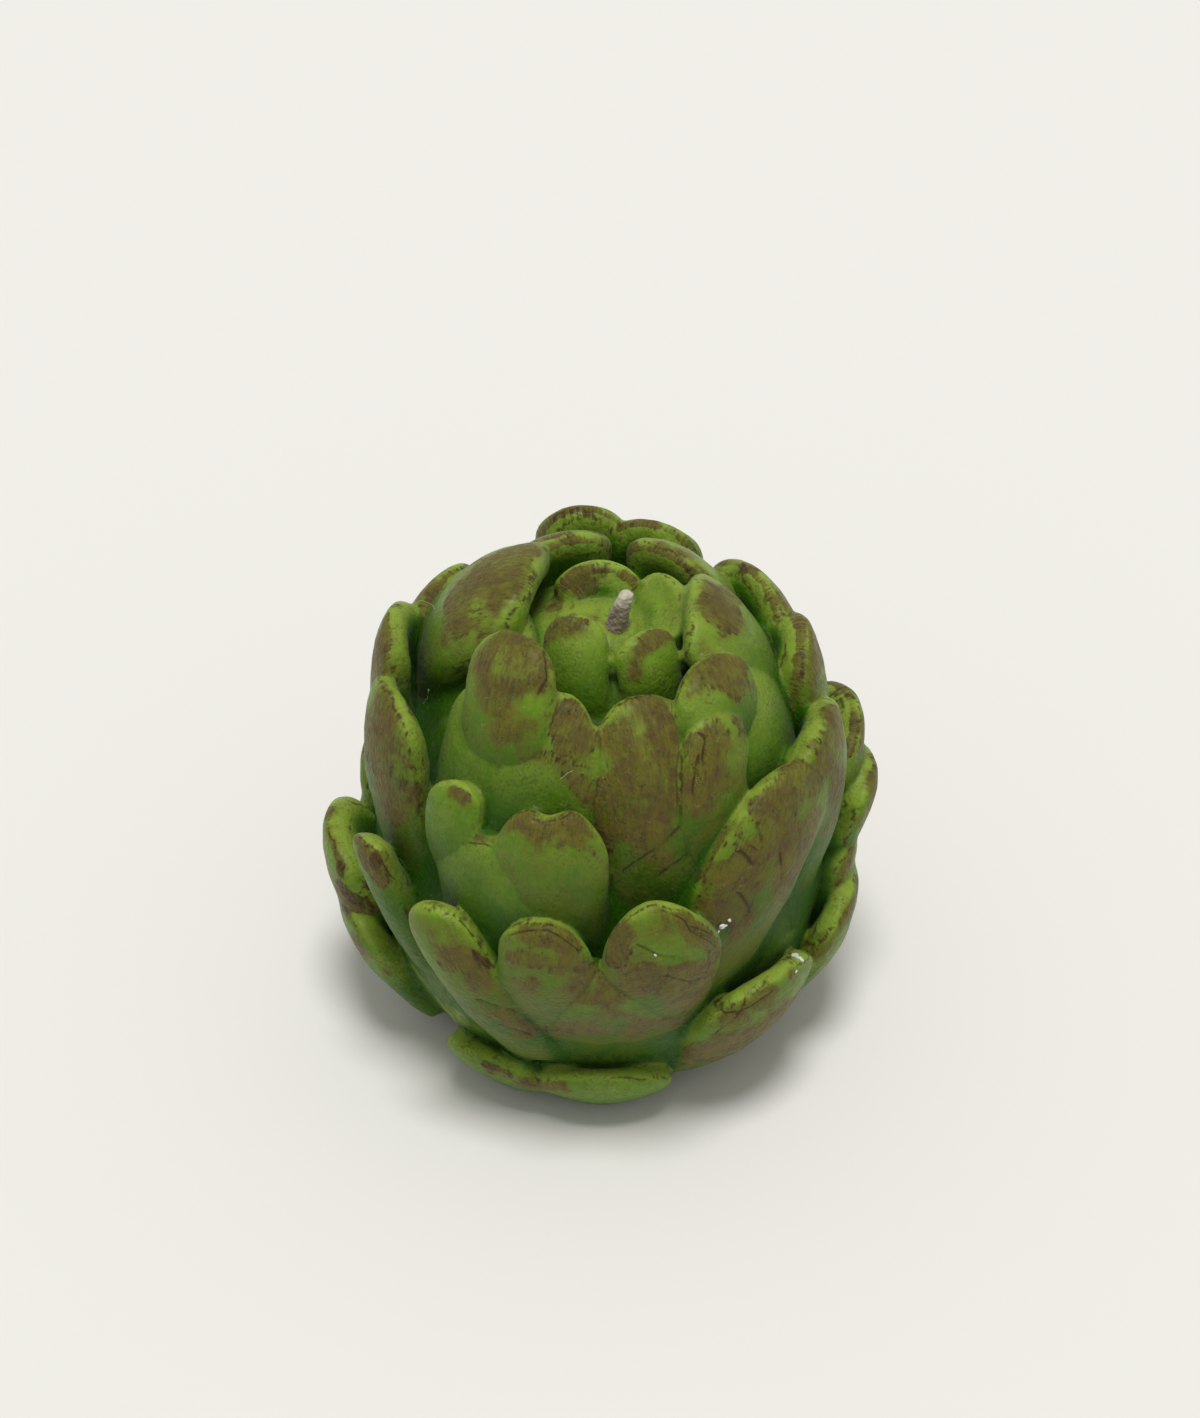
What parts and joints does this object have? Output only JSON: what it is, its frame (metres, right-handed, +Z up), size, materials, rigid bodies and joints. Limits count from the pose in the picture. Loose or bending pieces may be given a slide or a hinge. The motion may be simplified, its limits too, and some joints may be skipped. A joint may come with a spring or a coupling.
{
  "type": "artichoke candle",
  "caption": "Candle of green wax moulded as an artichoke head, with thick overlapping leaves, brown colour rubbed on the leaf tips and a short cotton wick in its crown.",
  "frame": {"origin": "middle of the flat base, on the surface that the candle stands on", "axes": "+Z up along the middle of the head towards the crown, front towards -Y"},
  "size_m": [0.0886, 0.0858, 0.0868],
  "materials": {
    "wax": "satin green wax with brown colour rubbed on the leaf tips",
    "wick": "waxed cotton cord, cream at its tip"
  },
  "bodies": {
    "root": {"wax_body": "wax", "wick": "wick"}
  },
  "joints": []
}
